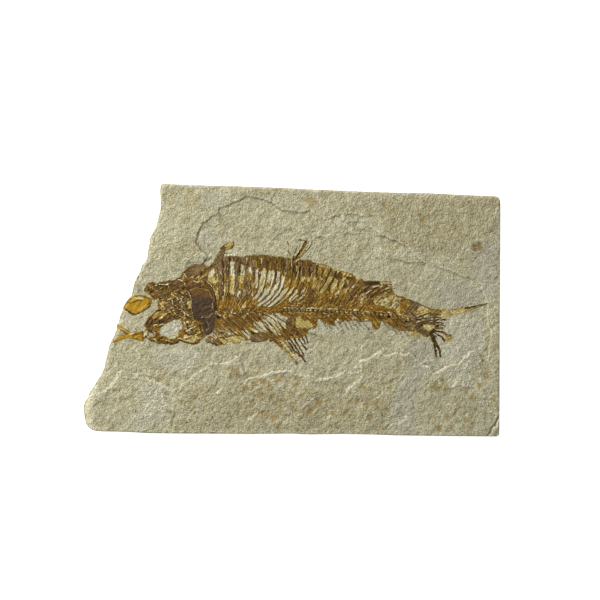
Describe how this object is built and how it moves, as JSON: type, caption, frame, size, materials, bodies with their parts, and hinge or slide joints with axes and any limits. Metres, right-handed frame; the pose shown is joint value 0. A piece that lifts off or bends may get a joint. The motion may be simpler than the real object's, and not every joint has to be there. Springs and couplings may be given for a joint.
{
  "type": "fossil fish",
  "caption": "Small fossil fish lying belly up in a flat sawn slab of pale limestone, with one broken side; rests flat on its back.",
  "frame": {"origin": "on the slab's flat back, under the middle of its outline", "axes": "+Z out of the face that shows the fossil, +X towards the tail, +Y towards the fish's belly"},
  "size_m": [0.14, 0.0848, 0.0092],
  "materials": {
    "limestone": "matte",
    "brown_bone": "satin",
    "dark_bone": "satin",
    "amber_bone": "satin"
  },
  "bodies": {
    "root": {"slab": "limestone", "skull": "brown_bone", "gill_cover": "dark_bone", "upper_jaw_plate": "amber_bone", "lower_jaw_fork": "amber_bone", "body": "brown_bone", "pectoral_fin": "brown_bone", "pelvic_fin": "brown_bone", "anal_fin": "brown_bone", "dorsal_fin": "brown_bone", "tail_fin": "brown_bone"}
  },
  "joints": []
}
